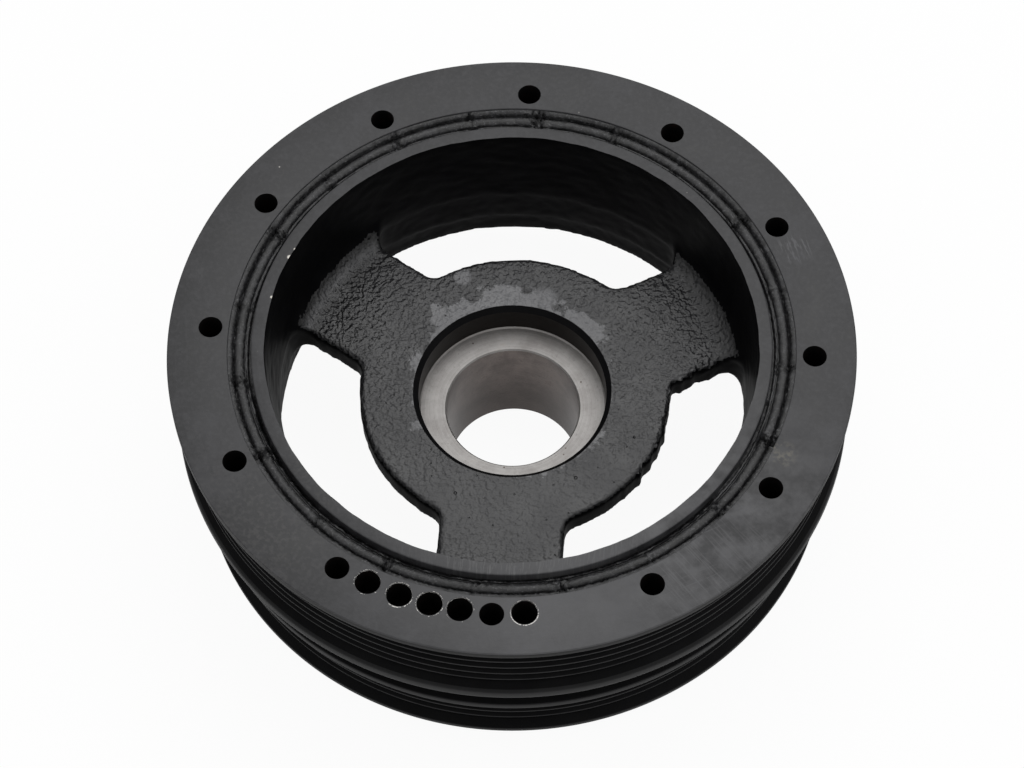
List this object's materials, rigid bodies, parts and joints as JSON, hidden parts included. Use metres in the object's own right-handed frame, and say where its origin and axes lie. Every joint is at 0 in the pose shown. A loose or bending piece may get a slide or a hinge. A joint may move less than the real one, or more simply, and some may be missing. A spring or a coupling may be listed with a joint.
{
  "type": "harmonic balancer",
  "caption": "Crankshaft damper and pulley: cast hub with three spokes, rubber ring, and a heavy outer ring with two ribbed belt sections.",
  "frame": {"origin": "on the crank axis, in the plane of the snout's rear end face, on which the balancer stands", "axes": "+Z along the crank axis towards the front face of the engine's pulley, +Y away from the picture's viewer"},
  "size_m": [0.189, 0.189, 0.0705],
  "materials": {
    "coated_casting": "satin black coat on rough sand casting, bare seat and bore",
    "rubber": "moulded, satin",
    "coated_machined_iron": "thin black coat on a turned surface"
  },
  "bodies": {
    "root": {"hub": "coated_casting", "rubber_ring": "rubber", "inertia_ring": "coated_machined_iron"}
  },
  "joints": []
}
